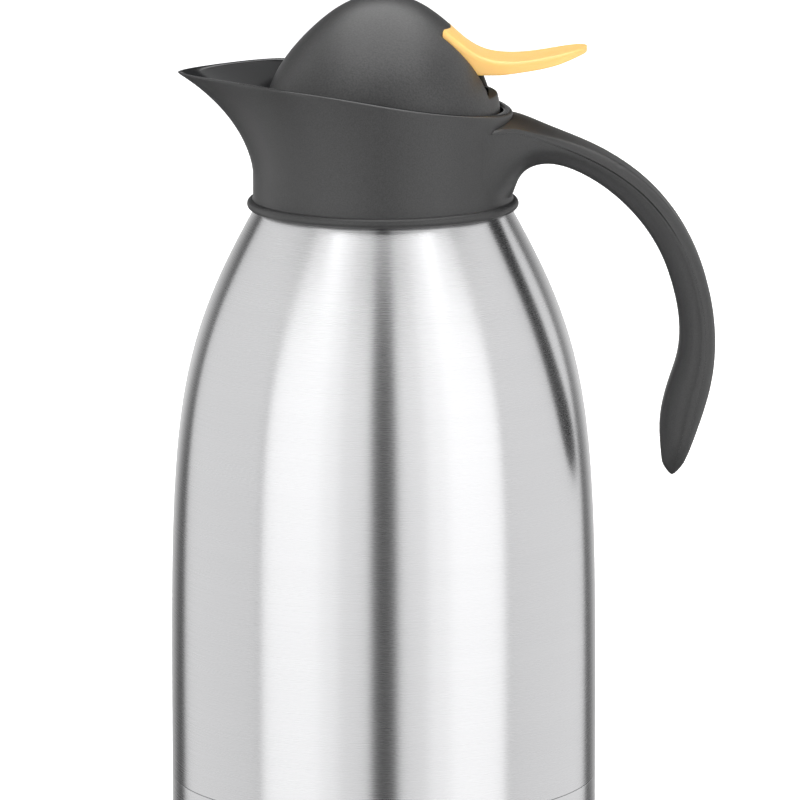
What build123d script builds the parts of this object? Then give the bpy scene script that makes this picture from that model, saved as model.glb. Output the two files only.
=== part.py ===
from build123d import *
import os
from math import sqrt

# Double-walled steel vacuum jug with a plastic spout collar and open handle, closed by a lift-out
# lid unit whose dome tips back on a hinge pin when its thumb lever is pressed.  Millimetres.
# Origin: the middle of the base's resting face.  +Z up, spout towards -X, handle towards +X.

# ---------------------------------------------------------------- driving sizes
# steel vessel
body_radius = 75.0            # outside of the barrel
steel = 0.6                   # sheet thickness of both walls
vacuum_gap = 7.0              # between the two walls of the barrel
seam_height = 22.0            # where the base cup meets the barrel
seam_gap = 0.3                # open line at that seam
straight_top = 42.0           # the barrel is a true cylinder up to here
barrel_swell = 150.0          # height that the barrel's curve pulls towards
shoulder_swell = 173.0        # height that the shoulder's curve pulls towards
shoulder_radius = 46.0        # shoulder, where the collar sits on it
shoulder_height = 221.5
shoulder_slope = 0.555        # radius lost for each millimetre of height, at the collar
neck_bore = 36.0              # inside of the mouth
neck_gap = 1.4                # between the two walls of the neck
neck_joint_rise = 6.5         # the inner wall's mouth ring is welded on this far over the shoulder
neck_bend = 8.0               # radius of the bend into the neck
neck_height = 22.0            # top of the outer wall, under the rolled lip, over the shoulder
lip_thickness = 1.0
lip_overhang = 1.4            # how far the lip stands past the outer neck

# base
pad_thickness = 2.0
pad_radius = 64.0
pad_chamfer = 0.8
cup_corner = 5.0
outer_dish_height = 12.0
outer_dish_flange = 34.0      # top of the flange that backs the seam
outer_dish_corner = 4.0
inner_dish_height = 24.0
inner_dish_joint = 40.0
inner_dish_corner = 12.0
evacuation_radius = 2.5
seal_radius = 4.0
seal_height = 1.0
getter_radius = 6.0
getter_height = 2.0
getter_offset = 30.0

# collar
collar_radius = 45.4          # neck of the collar
collar_wall = 3.0
foot_rise = 2.1               # the collar's foot over the shoulder; the heights below count from it
bead_radius = 47.8
bead_rise = 1.75
bead_foot_radius = 46.2
bead_top_rise = 3.7
bead_root = 45.3              # where the bead runs into the neck
spout_root_rise = 12.4        # where the spout starts to lean out of the neck
lean_start = 4.6              # height over which the lean begins
lean_middle = (3.9, 24.0)     # out and up from the root, pulls the middle of the lean
lean_end = (5.2, 3.1)         # how far the lean runs on past the tip of the rim, out and up
lean_steps = (0.15, 0.4, 0.6, 0.8, 1.0)
round_shares = (0.4027, 0.7838, 0.7838, 0.4027)   # near, far, cheek and nose pulls of a half circle
pointed_shares = (0.727, 0.366, 0.885, 0.336)     # the same pulls at the rim
spout_reach = 72.0            # tip of the spout from the axis
rim_half_width = 46.0
rim_tip_rise = 47.9
rim_middle_rise = 42.2        # over the axis
rim_rear_rise = 34.3
rim_rear_fall = 5.0           # how much further it would fall by the barrel's radius
rim_level_reach = 20.0        # how far in from the spout's tip the rim is level
rim_knee = (39.9, 1.0)        # a point of the rim, in from the tip and down
rim_overrun = 8.0             # how far its line runs past the tip
rim_round = 0.5
floor_thickness = 3.0         # floor of the funnel, on which the lid unit rests
throat_radius = 37.6
gasket_thickness = 1.5
clamp_height = 5.8
clamp_radius = 42.4
clamp_split = 1.0
cone_clearance = 0.15
cone_overrun = 10.0           # how far the cut for the vessel's shoulder runs on below the collar
gasket_inset = 0.4            # the gasket stops this far outside the mouth
fit_gap = 0.1                 # between pieces that slide together when fitted

# handle: its back, its finger side and its flank run side by side from the collar to the tip;
# the first two are counted outwards and down from the rear of the rim
handle_back_line = ((-12.0, 2.8), (0.6, 2.2), (10.0, 5.3), (28.7, 12.9), (46.2, 24.4), (62.7, 46.1),
                    (70.7, 75.7), (69.5, 97.1), (64.4, 114.3), (60.5, 124.3), (57.6, 129.9))
handle_front_line = ((-8.0, 38.0), (0.14, 28.3), (2.08, 23.3), (4.54, 20.6), (9.46, 18.7), (23.9, 22.0),
                     (38.7, 32.6), (51.9, 50.7), (55.8, 61.4), (58.4, 75.7), (57.5, 87.1), (55.3, 94.2),
                     (51.8, 109.6), (52.2, 121.3), (52.9, 125.8), (54.6, 129.6))
handle_flank_line = ((0, 28.0), (12.6, 19.0), (22.5, 14.6), (42.0, 11.4), (60.0, 11.0), (88.0, 11.0),
                     (118.0, 11.0), (138.0, 10.8), (154.0, 9.8), (166.0, 7.0), (172.0, 3.4))
handle_cut_count = 24
handle_corner = 0.42          # corner radius as a share of the handle's thickness
cover_thickness = 3.6
cover_line = (0.05, 0.15, 0.3, 0.45, 0.6, 0.75, 0.86)     # shares of the way where the parting line runs
cover_end = (0.96, -1.0)      # share and depth where it leaves the back
peg_stations = (0.36, 0.56, 0.8)
cover_gap = 0.12
peg_radius = 1.6
peg_length = 4.0

# lid unit
flange_radius = 41.5
flange_thickness = 2.2
pour_radius = 26.5            # hole through the lid unit
plug_tube_radius = 35.4
plug_tube_wall = 2.4
plug_tube_length = 14.0
ring_groove_depth = 1.2
ring_groove_height = 3.0
ring_groove_drop = 10.0       # its bottom under the flange
ring_stand_out = 0.35

# hinge
pin_x = 33.5
pin_rise = 12.0               # over the collar's floor
pin_radius = 1.5
pin_half_length = 13.2
ear_inside = 4.5
ear_thickness = 2.5
ear_radius = 3.2
ear_foot_depth = 2.3
ear_foot_back = 0.2           # the ear's foot stands this far in front of the pin's centre
barrel_radius = 3.6
barrel_end = 13.0
side_gap = 0.3                # between the ears and the barrels
running_clearance = 0.05

# dome; its heights count from its foot
dome_gap = 5.3                # between its foot and the flange
dome_height = 42.0
dome_radius = 41.0
dome_wall = 2.0
dome_brow = 17.7              # half-width of the flat of the crown
dome_cheek_radius = 20.1
dome_cheek_rise = 31.3
dome_skirt_rise = 21.5
slot_half_width = 14.6
slot_rise = 7.8
slot_front = 23.6
slot_corner = 20.6
slot_round = 0.8
sill_inside = 37.0            # the sill under the slot is thickened inwards to here
sill_depth = 2.0
lever_clearance = 0.25

# seal under the dome
plug_radius = 30.0
plug_thickness = 2.5
plug_stem_radius = 6.0
plug_stem_rise = 5.5          # its top over the dome's foot
seal_bore = 24.0
seal_thickness = 1.5
dome_boss_radius = 4.0
screw_radius = 1.5
screw_head_radius = 3.0
screw_head_height = 2.2
screw_bite = 10.0

# thumb lever; its heights count from its underside
lever_gap = 7.7               # between the slot's bottom and the lever
lever_tip = 71.2
lever_top_line = ((20.6, 16.4), (27.0, 11.0), (33.9, 6.7), (43.0, 4.8), (56.5, 6.0), (68.7, 8.3), (74.0, 9.1))
lever_under_line = ((74.0, 7.4), (69.4, 6.2), (61.7, 3.5), (51.3, 1.3), (41.0, 0.0))
lever_plan = ((44.0, 14.35), (57.0, 12.6), (66.5, 9.5))       # half-widths from where it narrows
lever_edge = 0.6
lever_edge_reach = 20.0       # rounded edges run further than this along the lever
tongue_half_width = 8.0
tongue_front = 9.5
tongue_thickness = 7.1
lever_screw_x = 14.0
lever_screw_y = 5.0
lever_screw_radius = 1.25
lever_boss_radius = 2.9
lever_screw_head = 2.4
lever_screw_head_height = 1.8
lever_screw_bite = 7.0

# spring
wire_radius = 0.45
coil_radius = 2.6
coil_half_width = 3.6
coil_turns = 5.75
spring_reach = 24.0           # where the moving leg ends
spring_hole_depth = 1.2       # the fixed leg stops this far above the flange's underside

# ---------------------------------------------------------------- sizes worked out from them
os.makedirs("parts", exist_ok=True)
outer_neck = neck_bore + 2 * steel + neck_gap
neck_top = shoulder_height + neck_height
neck_joint = shoulder_height + neck_joint_rise
lip_top = neck_top + lip_thickness
lip_radius = outer_neck + lip_overhang
gasket_top = lip_top + gasket_thickness
clamp_bottom = neck_top - clamp_height
foot_height = shoulder_height + foot_rise
bead_height = foot_height + bead_rise
bead_top = foot_height + bead_top_rise
spout_root_height = foot_height + spout_root_rise
rim_tip_height = foot_height + rim_tip_rise
rim_rear_height = foot_height + rim_rear_rise
collar_floor = gasket_top + floor_thickness
flange_top = collar_floor + flange_thickness
ring_groove_bottom = collar_floor - ring_groove_drop
pin_z = collar_floor + pin_rise
dome_base = flange_top + dome_gap
dome_top = dome_base + dome_height
slot_bottom = dome_base + slot_rise
plug_stem_top = dome_base + plug_stem_rise
lever_underside = slot_bottom + lever_gap
tongue_top = lever_underside + tongue_thickness
inner_wall = body_radius - steel - vacuum_gap
ear_outside = ear_inside + ear_thickness
barrel_start = ear_outside + side_gap
plug_bottom = flange_top + seal_thickness
plug_top = plug_bottom + plug_thickness

# side view of the rim; it runs past the spout's tip and past the rear
rim_line = ((-spout_reach - rim_overrun, rim_tip_height), (rim_level_reach - spout_reach, rim_tip_height),
            (rim_knee[0] - spout_reach, rim_tip_height - rim_knee[1]), (0, foot_height + rim_middle_rise),
            (collar_radius, rim_rear_height), (body_radius, rim_rear_height - rim_rear_fall))
high_up = dome_top + body_radius      # above everything


def save(builder, name):
    """Label a finished piece and write its STEP file."""
    builder.part.label = name
    export_step(builder.part, f"parts/{name}.step")


def outline(*points):
    """Return the face inside a closed outline of (radius, height) points, ready to be turned."""
    with BuildSketch(Plane.XZ) as face:
        with BuildLine():
            Polyline(*points, close=True)
        make_face()
    return face.sketch


def ring(inside, outside, bottom, top):
    """Return the half section of a plain ring, or of a disc where the inside radius is 0."""
    return outline((inside, bottom), (outside, bottom), (outside, top), (inside, top))


def wall_side(inset, neck_radius, foot, top):
    """Draw one side of the vessel's wall, from its foot up to the top of its neck."""
    rise = Vector(-shoulder_slope, 1).normalized()
    end = Vector(shoulder_radius - inset * rise.Y, shoulder_height + inset * rise.X)
    pull = (shoulder_height - shoulder_swell) * (1 - inset / (2 * body_radius))
    swell = end + Vector(shoulder_slope, -1) * pull
    radius = body_radius - inset
    bend = Vector(neck_radius, end.Y + (end.X - neck_radius) / shoulder_slope)
    Line((radius, foot), (radius, straight_top))
    Bezier((radius, straight_top), (radius, barrel_swell), swell, end)
    FilletPolyline(end, bend, (neck_radius, top), radius=neck_bend)


# ---------------------------------------------------------------- steel vessel
with BuildPart() as outer_shell:
    with BuildSketch(Plane.XZ):
        with BuildLine():
            wall_side(0, outer_neck, seam_height, neck_top)
            wall_side(steel, outer_neck - steel, seam_height, neck_top)
            Line((body_radius, seam_height), (body_radius - steel, seam_height))
            Line((outer_neck, neck_top), (outer_neck - steel, neck_top))
        make_face()
    revolve(axis=Axis.Z)
save(outer_shell, "outer_shell")

with BuildPart() as inner_vessel:
    outer_inset = steel + vacuum_gap
    inner_inset = outer_inset + steel
    with BuildSketch(Plane.XZ):
        with BuildLine():
            wall_side(outer_inset, neck_bore + steel, inner_dish_joint, neck_joint)
            wall_side(inner_inset, neck_bore, inner_dish_joint, neck_joint)
            Line((inner_wall, inner_dish_joint), (inner_wall - steel, inner_dish_joint))
            Line((neck_bore + steel, neck_joint), (neck_bore, neck_joint))
        make_face()
    revolve(axis=Axis.Z)
save(inner_vessel, "inner_vessel")

# the inner wall's neck, with the lip rolled out over the outer wall
with BuildPart() as mouth_ring:
    revolve(ring(neck_bore, neck_bore + steel, neck_joint, lip_top), axis=Axis.Z)
    revolve(ring(neck_bore, lip_radius, neck_top, lip_top), axis=Axis.Z)
save(mouth_ring, "mouth_ring")

with BuildPart() as inner_base:
    with BuildSketch(Plane.XZ):
        with BuildLine():
            FilletPolyline((0, inner_dish_height), (inner_wall, inner_dish_height),
                           (inner_wall, inner_dish_joint), radius=inner_dish_corner)
            FilletPolyline((0, inner_dish_height + steel),
                           (inner_wall - steel, inner_dish_height + steel),
                           (inner_wall - steel, inner_dish_joint), radius=inner_dish_corner - steel)
            Line((0, inner_dish_height), (0, inner_dish_height + steel))
            Line((inner_wall, inner_dish_joint), (inner_wall - steel, inner_dish_joint))
        make_face()
    revolve(axis=Axis.Z)
save(inner_base, "inner_base")

# the dish that closes the outer wall; its flange backs the seam
outer_dish_radius = body_radius - steel - running_clearance
with BuildPart() as outer_base:
    with BuildSketch(Plane.XZ):
        with BuildLine():
            FilletPolyline((0, outer_dish_height), (outer_dish_radius, outer_dish_height),
                           (outer_dish_radius, outer_dish_flange), radius=outer_dish_corner)
            FilletPolyline((0, outer_dish_height + steel),
                           (outer_dish_radius - steel, outer_dish_height + steel),
                           (outer_dish_radius - steel, outer_dish_flange),
                           radius=outer_dish_corner - steel)
            Line((0, outer_dish_height), (0, outer_dish_height + steel))
            Line((outer_dish_radius, outer_dish_flange), (outer_dish_radius - steel, outer_dish_flange))
        make_face()
    revolve(axis=Axis.Z)
    hole = ring(0, evacuation_radius, outer_dish_height, outer_dish_height + steel)
    revolve(hole, axis=Axis.Z, mode=Mode.SUBTRACT)
save(outer_base, "outer_base")

# the bead of solder glass that closes the evacuation hole
with BuildPart() as evacuation_seal:
    revolve(ring(0, seal_radius, outer_dish_height - seal_height, outer_dish_height), axis=Axis.Z)
    fillet(evacuation_seal.faces().sort_by(Axis.Z)[0].edges(), seal_height / 2)
    stem_radius = evacuation_radius - running_clearance
    revolve(ring(0, stem_radius, outer_dish_height, outer_dish_height + steel), axis=Axis.Z)
save(evacuation_seal, "evacuation_seal")

# the getter pellet that keeps the vacuum
with BuildPart() as getter:
    with BuildSketch(Plane.XY.offset(outer_dish_height + steel)):
        with Locations((getter_offset, 0)):
            Circle(getter_radius)
    extrude(amount=getter_height)
    chamfer(getter.faces().sort_by(Axis.Z)[-1].edges(), getter_height / 4)
save(getter, "getter")

with BuildPart() as base_cup:
    with BuildSketch(Plane.XZ):
        with BuildLine():
            cup_top = seam_height - seam_gap
            FilletPolyline((0, pad_thickness), (body_radius, pad_thickness),
                           (body_radius, cup_top), radius=cup_corner)
            FilletPolyline((0, pad_thickness + steel), (body_radius - steel, pad_thickness + steel),
                           (body_radius - steel, cup_top), radius=cup_corner - steel)
            Line((0, pad_thickness), (0, pad_thickness + steel))
            Line((body_radius, cup_top), (body_radius - steel, cup_top))
        make_face()
    revolve(axis=Axis.Z)
save(base_cup, "base_cup")

with BuildPart() as base_pad:
    revolve(ring(0, pad_radius, 0, pad_thickness), axis=Axis.Z)
    chamfer(base_pad.faces().sort_by(Axis.Z)[0].edges(), pad_chamfer)
save(base_pad, "base_pad")


# ---------------------------------------------------------------- collar, spout and handle
def spout_cut(height, reach, half_width):
    """Return a level cut through the spout: a half circle behind, more pointed as it leans out."""
    point = (reach - half_width) / (spout_reach - rim_half_width)

    shares = [first + (last - first) * point for first, last in zip(round_shares, pointed_shares)]
    near = shares[0] * reach
    far = shares[1] * reach
    cheek = shares[2] * half_width
    nose = shares[3] * half_width
    with BuildSketch(Plane.XY.offset(height)) as cut:
        with BuildLine():
            ThreePointArc((0, half_width), (half_width, 0), (0, -half_width))
            for side in (1, -1):
                Bezier((0, side * half_width), (-near, side * half_width), (-far, side * cheek),
                       (-reach, side * nose), (-reach, 0))
        make_face()
    return cut.sketch


def spout_cuts(inset, foot):
    """Return the level cuts for the collar's outside, or for its inside where there is an inset."""
    root = spout_root_height
    lean = Bezier((collar_radius, root), (collar_radius, root + lean_start),
                  (collar_radius + lean_middle[0], root + lean_middle[1]),
                  (spout_reach + lean_end[0], rim_tip_height + lean_end[1]), mode=Mode.PRIVATE)
    levels = [(foot, collar_radius)]
    levels += [(root - 1, collar_radius)] if foot < root - 1 else []
    levels += [((lean @ step).Y, (lean @ step).X) for step in lean_steps]
    return [spout_cut(height, reach - inset, collar_radius - inset)
            for height, reach in levels if height >= foot]


def rim_plane():
    """Return the side view of everything above the rim, which slopes down to the rear."""
    with BuildSketch(Plane.XZ) as above:
        with BuildLine():
            Spline(*rim_line)
            Polyline(rim_line[-1], (rim_line[-1][0], high_up), (rim_line[0][0], high_up), rim_line[0])
        make_face()
    return above.sketch


def from_root(*points):
    """Place (out, down) points, counted from the collar's neck and the rim's rear, in the side view."""
    return [(collar_radius + out, 0, rim_rear_height - down) for out, down in points]


handle_back = Spline(*from_root(*handle_back_line))
handle_front = Spline(*from_root(*handle_front_line))
handle_flank = Spline(*handle_flank_line)


def handle_station(share):
    """Return the handle's plane, thickness and half-width at a share of its way from the collar.

    The plane's x axis points to the handle's back.
    """
    back = handle_back @ share
    front = handle_front @ share
    up = (back - front).normalized()
    plane = Plane(origin=(back + front) / 2, x_dir=up, z_dir=up.cross(Vector(0, -1, 0)))
    return plane, (back - front).length, (handle_flank @ share).Y


def handle_cuts():
    """Return the handle's cross sections, from inside the collar's wall to the tip."""
    cuts = []
    for step in range(handle_cut_count + 1):
        plane, thickness, half_width = handle_station(step / handle_cut_count)
        with BuildSketch(plane) as cut:
            RectangleRounded(thickness, 2 * half_width, handle_corner * min(thickness, 2 * half_width))
        cuts.append(cut.sketch)
    return cuts


def under_back(share, depth):
    """Return the point at some depth under the handle's back."""
    plane, thickness, half_width = handle_station(share)
    return plane.origin + plane.x_dir * (thickness / 2 - depth)


def cover_side(depth):
    """Return the side view of what lies outside a line at some depth under the handle's back."""
    line = [under_back(share, depth) for share in cover_line]
    line.append(under_back(*cover_end))
    points = [(point.X, point.Z) for point in line]
    far_x = points[-1][0] + body_radius
    with BuildSketch(Plane.XZ) as side:
        with BuildLine():
            Line((0, points[0][1]), points[0])
            Spline(*points)
            Polyline(points[-1], (far_x, points[-1][1]), (far_x, high_up), (0, high_up), (0, points[0][1]))
        make_face()
    return side.sketch


def peg_places(depth):
    """Return the planes, looking inwards, on which the cover's pegs stand."""
    return [Plane(origin=under_back(share, depth), z_dir=-handle_station(share)[0].x_dir)
            for share in peg_stations]


# collar, spout and the finger side of the handle are one moulding
with BuildPart() as spout_collar:
    loft(handle_cuts())
    extrude(cover_side(cover_thickness + cover_gap), amount=body_radius, both=True, mode=Mode.SUBTRACT)
    for place in peg_places(cover_thickness):
        with BuildSketch(place):
            Circle(peg_radius + running_clearance)
        extrude(amount=peg_length + cover_gap, mode=Mode.SUBTRACT)
    loft(spout_cuts(0, foot_height))
    with BuildSketch(Plane.XZ):
        with BuildLine():
            ThreePointArc((bead_foot_radius, foot_height), (bead_radius, bead_height), (bead_root, bead_top))
            Polyline((bead_root, bead_top), (collar_radius - collar_wall, bead_top),
                     (collar_radius - collar_wall, foot_height), (bead_foot_radius, foot_height))
        make_face()
    revolve(axis=Axis.Z)
    loft(spout_cuts(collar_wall, collar_floor), mode=Mode.SUBTRACT)
    extrude(rim_plane(), amount=body_radius, both=True, mode=Mode.SUBTRACT)
    high_edges = spout_collar.edges().filter_by(lambda edge: edge.bounding_box().min.Z > flange_top)
    rim_edges = high_edges.filter_by(lambda edge: edge.length > collar_radius)
    fillet(rim_edges, rim_round)
    clamp_bore = clamp_radius + fit_gap
    gasket_bore = lip_radius + fit_gap
    cone_bottom = foot_height - cone_overrun
    cone_radius = shoulder_radius + cone_clearance + (shoulder_height - cone_bottom) * shoulder_slope
    cone_top = cone_bottom + (cone_radius - clamp_bore) / shoulder_slope
    vessel_room = outline((0, cone_bottom), (cone_radius, cone_bottom), (clamp_bore, cone_top),
                          (clamp_bore, neck_top), (gasket_bore, neck_top), (gasket_bore, gasket_top),
                          (throat_radius, gasket_top), (throat_radius, collar_floor), (0, collar_floor))
    revolve(vessel_room, axis=Axis.Z, mode=Mode.SUBTRACT)
save(spout_collar, "spout_collar")

# the strip along the handle's back, held by pegs
with BuildPart() as handle_cover:
    loft(handle_cuts())
    extrude(cover_side(cover_thickness), amount=body_radius, both=True, mode=Mode.INTERSECT)
    loft(spout_cuts(-cover_gap, foot_height), mode=Mode.SUBTRACT)
    for place in peg_places(cover_thickness):
        with BuildSketch(place):
            Circle(peg_radius)
        extrude(amount=peg_length)
save(handle_cover, "handle_cover")

with BuildPart() as collar_gasket:
    revolve(ring(neck_bore + gasket_inset, lip_radius, lip_top, gasket_top), axis=Axis.Z)
save(collar_gasket, "collar_gasket")

# split ring under the vessel's lip, which the collar screws down on
with BuildPart() as neck_clamp:
    revolve(ring(outer_neck + fit_gap, clamp_radius, clamp_bottom, neck_top), axis=Axis.Z)
    with BuildSketch(Plane.XY.offset(clamp_bottom)):
        Rectangle(3 * clamp_radius, clamp_split)
    extrude(amount=neck_top - clamp_bottom, mode=Mode.SUBTRACT)
save(neck_clamp, "neck_clamp")


# ---------------------------------------------------------------- lid unit
def pin_disc(radius, start, width):
    """Return a round plate on the hinge line, at some distance from the middle plane."""
    with BuildSketch(Plane.XZ.offset(-start)) as disc:
        with Locations((pin_x, pin_z)):
            Circle(radius)
    return extrude(disc.sketch, amount=-width, mode=Mode.PRIVATE)


with BuildPart() as lid_frame:
    revolve(ring(pour_radius, flange_radius, collar_floor, flange_top), axis=Axis.Z)
    tube_bottom = collar_floor - plug_tube_length
    tube_bore = plug_tube_radius - plug_tube_wall
    revolve(ring(tube_bore, plug_tube_radius, tube_bottom, collar_floor), axis=Axis.Z)
    groove = ring(plug_tube_radius - ring_groove_depth, flange_radius, ring_groove_bottom,
                  ring_groove_bottom + ring_groove_height)
    revolve(groove, axis=Axis.Z, mode=Mode.SUBTRACT)
    with BuildSketch(Plane.XZ.offset(-ear_inside)):
        with Locations((pin_x, pin_z)):
            Circle(ear_radius)
        with Locations((pin_x - ear_foot_back, collar_floor)):
            Rectangle(ear_foot_depth, pin_z - collar_floor, align=(Align.MAX, Align.MIN))
        with Locations((pin_x, pin_z)):
            Circle(pin_radius + running_clearance, mode=Mode.SUBTRACT)
    extrude(amount=-ear_thickness)
    mirror(about=Plane.XZ)
    with BuildSketch(Plane.XY.offset(collar_floor)):
        with Locations((pin_x - coil_radius, wire_radius - coil_half_width)):
            Circle(wire_radius + running_clearance)
    extrude(amount=flange_thickness, mode=Mode.SUBTRACT)
save(lid_frame, "lid_frame")

with BuildPart() as frame_gasket:
    groove_floor = plug_tube_radius - ring_groove_depth + running_clearance
    revolve(ring(groove_floor, plug_tube_radius + ring_stand_out, ring_groove_bottom + fit_gap,
                 ring_groove_bottom + ring_groove_height - fit_gap), axis=Axis.Z)
    fillet(frame_gasket.faces().filter_by(GeomType.CYLINDER).sort_by(SortBy.RADIUS)[-1].edges(),
           ring_stand_out * 2)
save(frame_gasket, "frame_gasket")

with BuildPart() as hinge_pin:
    add(pin_disc(pin_radius, -pin_half_length, 2 * pin_half_length))
    chamfer(hinge_pin.edges().filter_by(GeomType.CIRCLE), pin_radius / 4)
save(hinge_pin, "hinge_pin")

# closes the lid: one leg stands in the flange, the other lies on the plug
coil_length = 2 * (coil_half_width - wire_radius)
coil_plane = Plane(origin=(pin_x, -coil_length / 2, pin_z), x_dir=(-1, 0, 0), z_dir=(0, 1, 0))
coil = coil_plane.from_local_coords(
    Helix(pitch=coil_length / coil_turns, height=coil_length, radius=coil_radius))
with BuildPart() as return_spring:
    with BuildSketch(Plane(origin=coil @ 0, z_dir=coil % 0)):
        Circle(wire_radius)
    sweep(path=coil, is_frenet=True)
    fixed_end = (pin_x - coil_radius, -coil_length / 2, collar_floor + spring_hole_depth)
    moving_end = (spring_reach, coil_length / 2, plug_top + wire_radius)
    for start, end in ((coil @ 0, Vector(fixed_end)), (coil @ 1, Vector(moving_end))):
        with BuildSketch(Plane(origin=start, z_dir=end - start)):
            Circle(wire_radius)
        extrude(amount=(end - start).length)
save(return_spring, "return_spring")


# ---------------------------------------------------------------- dome and what it carries
def dome_curve(inset):
    """Draw the dome's outline at some depth under its outside."""
    lean = inset / sqrt(2)
    return Bezier((0, dome_top - inset), (dome_brow, dome_top - inset),
                  (dome_cheek_radius - lean, dome_base + dome_cheek_rise - lean),
                  (dome_radius - inset, dome_base + dome_skirt_rise), (dome_radius - inset, dome_base))


with BuildPart() as dome_shell:
    for side in (-1, 1):
        middle = side * (barrel_start + barrel_end) / 2
        width = barrel_end - barrel_start
        add(pin_disc(barrel_radius, middle - width / 2, width))
        with BuildSketch(Plane.XZ.offset(-middle)):
            with Locations((pin_x, pin_z)):
                Rectangle(dome_radius - pin_x, barrel_radius, align=(Align.MIN, Align.CENTER))
        extrude(amount=width / 2, both=True)
    with BuildSketch(Plane.XY.offset(slot_bottom)):
        with Locations((sill_inside, 0)):
            Rectangle(dome_radius - sill_inside, 2 * slot_half_width, align=(Align.MIN, Align.CENTER))
    extrude(amount=-sill_depth)
    with BuildSketch(Plane.XY.offset(plug_stem_top)):
        Circle(dome_boss_radius)
    extrude(amount=dome_top - plug_stem_top)
    with BuildSketch(Plane.XY.offset(tongue_top)):
        with Locations((lever_screw_x, lever_screw_y), (lever_screw_x, -lever_screw_y)):
            Circle(lever_boss_radius)
    extrude(amount=dome_top - tongue_top)
    with BuildSketch(Plane.XZ) as dome_solid:
        with BuildLine():
            dome_curve(dome_wall / 2)
            Polyline((0, dome_top - dome_wall / 2), (0, dome_base), (dome_radius - dome_wall / 2, dome_base))
        make_face()
    revolve(axis=Axis.Z, mode=Mode.INTERSECT)
    with BuildSketch(Plane.XZ):
        with BuildLine():
            dome_curve(0)
            dome_curve(dome_wall)
            Line((0, dome_top), (0, dome_top - dome_wall))
            Line((dome_radius, dome_base), (dome_radius - dome_wall, dome_base))
        make_face()
    revolve(axis=Axis.Z)
    with BuildSketch(Plane.XY.offset(slot_bottom)):
        with BuildLine():
            ThreePointArc((slot_corner, -slot_half_width), (slot_front, 0), (slot_corner, slot_half_width))
            Polyline((slot_corner, slot_half_width), (body_radius, slot_half_width),
                     (body_radius, -slot_half_width), (slot_corner, -slot_half_width))
        make_face()
    extrude(amount=dome_top - slot_bottom, mode=Mode.SUBTRACT)
    outside = dome_shell.faces().filter_by(GeomType.REVOLUTION).sort_by(SortBy.AREA)[-1]
    rear_edges = outside.edges().filter_by(lambda edge: (edge @ 0.5).X > slot_corner)
    high_edges = rear_edges.filter_by(lambda edge: (edge @ 0.5).Z > dome_base)
    slot_edges = high_edges.filter_by(lambda edge: edge.length > slot_half_width)
    fillet(slot_edges, slot_round)
    add(pin_disc(pin_radius + running_clearance, -slot_half_width, 2 * slot_half_width), mode=Mode.SUBTRACT)
    with BuildSketch(Plane.XY.offset(plug_stem_top)):
        Circle(screw_radius)
    extrude(amount=screw_bite, mode=Mode.SUBTRACT)
    with BuildSketch(Plane.XY.offset(tongue_top)):
        with Locations((lever_screw_x, lever_screw_y), (lever_screw_x, -lever_screw_y)):
            Circle(lever_screw_radius)
    extrude(amount=lever_screw_bite, mode=Mode.SUBTRACT)
save(dome_shell, "dome_shell")

with BuildPart() as lid_plug:
    revolve(ring(0, plug_radius, plug_bottom, plug_top), axis=Axis.Z)
    revolve(ring(0, plug_stem_radius, plug_top, plug_stem_top), axis=Axis.Z)
    revolve(ring(0, screw_head_radius + fit_gap, plug_bottom, plug_bottom + screw_head_height),
            axis=Axis.Z, mode=Mode.SUBTRACT)
    revolve(ring(0, screw_radius, plug_bottom, plug_stem_top), axis=Axis.Z, mode=Mode.SUBTRACT)
save(lid_plug, "lid_plug")

with BuildPart() as plug_gasket:
    revolve(ring(seal_bore, plug_radius, flange_top, plug_bottom), axis=Axis.Z)
save(plug_gasket, "plug_gasket")

with BuildPart() as plug_screw:
    shank = screw_radius - running_clearance
    revolve(ring(0, screw_head_radius, plug_bottom, plug_bottom + screw_head_height), axis=Axis.Z)
    revolve(ring(0, shank, plug_bottom, plug_stem_top + screw_bite - 1), axis=Axis.Z)
    with BuildSketch(Plane.XY.offset(plug_bottom)):
        Rectangle(screw_head_radius, screw_head_radius / 4)
        Rectangle(screw_head_radius / 4, screw_head_radius)
    extrude(amount=screw_head_height / 2, mode=Mode.SUBTRACT)
save(plug_screw, "plug_screw")

def over_underside(points):
    """Place (x, rise) points, counted from the lever's underside, in the side view."""
    return [(x, lever_underside + rise) for x, rise in points]


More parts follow.
